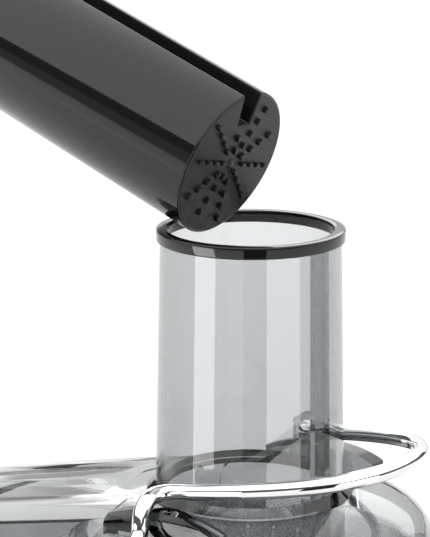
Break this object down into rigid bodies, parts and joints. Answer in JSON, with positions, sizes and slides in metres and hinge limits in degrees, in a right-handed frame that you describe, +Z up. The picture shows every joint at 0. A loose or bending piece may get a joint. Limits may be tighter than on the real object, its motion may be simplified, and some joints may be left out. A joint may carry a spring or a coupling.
{
  "type": "centrifugal juicer",
  "caption": "Centrifugal juicer with a wide smoke-clear feed chute, a toothed pusher leaning in its mouth, a chrome wire locking arm and a rear pulp container.",
  "frame": {"origin": "on the basket's axis, in the plane the feet stand on", "axes": "+Z up along the basket and chute, -Y toward the juice spout, +X to the right seen from the spout"},
  "size_m": [0.2044, 0.34, 0.5611],
  "materials": {
    "smoke_clear": "transparent smoke-grey plastic, polished",
    "gloss_black": "high gloss",
    "dark_grey_plate": "satin gloss",
    "arm_chrome": "polished",
    "housing_plastic": "fine satin",
    "band_steel": "brushed round the body",
    "bowl_plastic": "translucent smoke-grey plastic",
    "pulp_plastic": "dark translucent plastic",
    "sieve_steel": "bright stainless steel",
    "foot_rubber": "matte",
    "seal_rubber": "matte silicone",
    "lamination_steel": "raw steel laminations",
    "bracket_alloy": "cast",
    "bearing_steel": "ground",
    "shaft_steel": "ground",
    "copper": "copper bars",
    "brush_holder": "plain",
    "white_nylon": "moulded",
    "switch_plastic": "moulded",
    "knob_silver": "silver satin lacquer"
  },
  "bodies": {
    "base": {"motor_housing": "housing_plastic", "steel_band": "band_steel", "top_deck": "housing_plastic", "base_plate": "housing_plastic", "pulp_rest": "housing_plastic", "foot_ring": "foot_rubber", "foot_back_left": "foot_rubber", "foot_back_right": "foot_rubber", "motor_stator": "lamination_steel", "motor_top_bracket": "bracket_alloy", "motor_low_bracket": "bracket_alloy", "upper_bearing": "bearing_steel", "lower_bearing": "bearing_steel", "brush_left": "brush_holder", "brush_right": "brush_holder", "shaft_seal": "seal_rubber", "cord_inlet": "foot_rubber", "switch_body": "switch_plastic", "interlock_switch": "switch_plastic", "juice_bowl": "bowl_plastic", "lid_seal": "seal_rubber", "juicer_lid": "smoke_clear", "chute_ring": "gloss_black"},
    "drive": {"motor_rotor": "lamination_steel", "commutator": "copper", "motor_shaft": "shaft_steel", "cooling_fan": "white_nylon", "drive_coupling": "white_nylon", "filter_basket": "sieve_steel", "grating_disc": "sieve_steel"},
    "arm": {"locking_arm": "arm_chrome", "arm_hub_left": "housing_plastic", "arm_hub_right": "housing_plastic"},
    "knob": {"control_knob": "knob_silver", "knob_spindle": "white_nylon"},
    "spout": {"drip_spout": "gloss_black"},
    "container": {"pulp_container": "pulp_plastic"},
    "pusher": {"pusher_body": "gloss_black", "pusher_plate": "dark_grey_plate", "pusher_cap": "gloss_black"}
  },
  "joints": [
    {"name": "basket_spin", "type": "hinge", "parent": "base", "child": "drive", "pos_m": [0, 0, 0.2], "axis": [0, 0, 1], "continuous": true},
    {"name": "arm_swing", "type": "hinge", "parent": "base", "child": "arm", "pos_m": [0, -0.012, 0.176], "axis": [1, 0, 0], "range_deg": [0, 100]},
    {"name": "knob_turn", "type": "hinge", "parent": "base", "child": "knob", "pos_m": [0.06299, -0.07507, 0.104], "axis": [0.6428, -0.766, 0], "range_deg": [0, 120]},
    {"name": "spout_turn", "type": "hinge", "parent": "base", "child": "spout", "pos_m": [0, -0.115, 0.213], "axis": [0, 1, 0], "range_deg": [0, 180]},
    {"name": "container_slide", "type": "slide", "parent": "base", "child": "container", "axis": [0, 1, 0], "range_m": [0, 0.12]},
    {"name": "pusher_tilt", "type": "hinge", "parent": "base", "child": "pusher", "pos_m": [0, 0.03824, 0.424], "axis": [1, 0, 0], "range_deg": [0, 68.5]}
  ]
}
